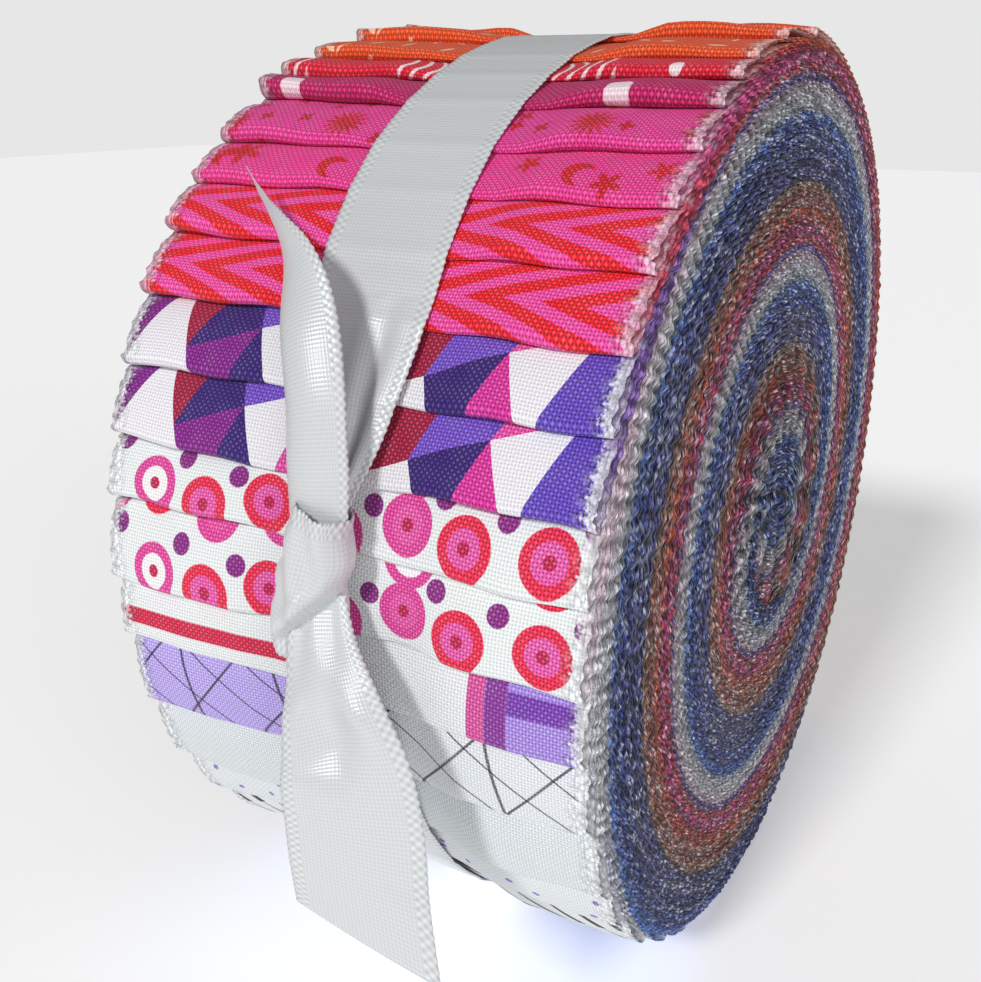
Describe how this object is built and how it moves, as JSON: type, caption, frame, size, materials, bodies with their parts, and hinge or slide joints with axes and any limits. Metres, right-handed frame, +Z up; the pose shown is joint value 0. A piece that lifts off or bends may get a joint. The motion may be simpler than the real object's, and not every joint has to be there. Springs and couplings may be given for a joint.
{
  "type": "roll of quilting fabric strips",
  "caption": "Roll of folded cotton quilting strips with pinked edges, wound up in colour order, standing on its rim and tied round the middle with a knotted satin ribbon.",
  "frame": {"origin": "on the surface that the roll stands on, under the middle of its box", "axes": "+X along the axis of the roll, -Y towards the side with the ribbon's knot, +Z up"},
  "size_m": [0.0636, 0.1316, 0.1194],
  "materials": {
    "quilting_cotton": "printed plain-weave quilting cotton, matt, with pinked edges",
    "satin_ribbon": "white satin ribbon with woven beaded edges, softly glossy"
  },
  "bodies": {
    "root": {"roll": "quilting_cotton", "ribbon": "satin_ribbon"}
  },
  "joints": []
}
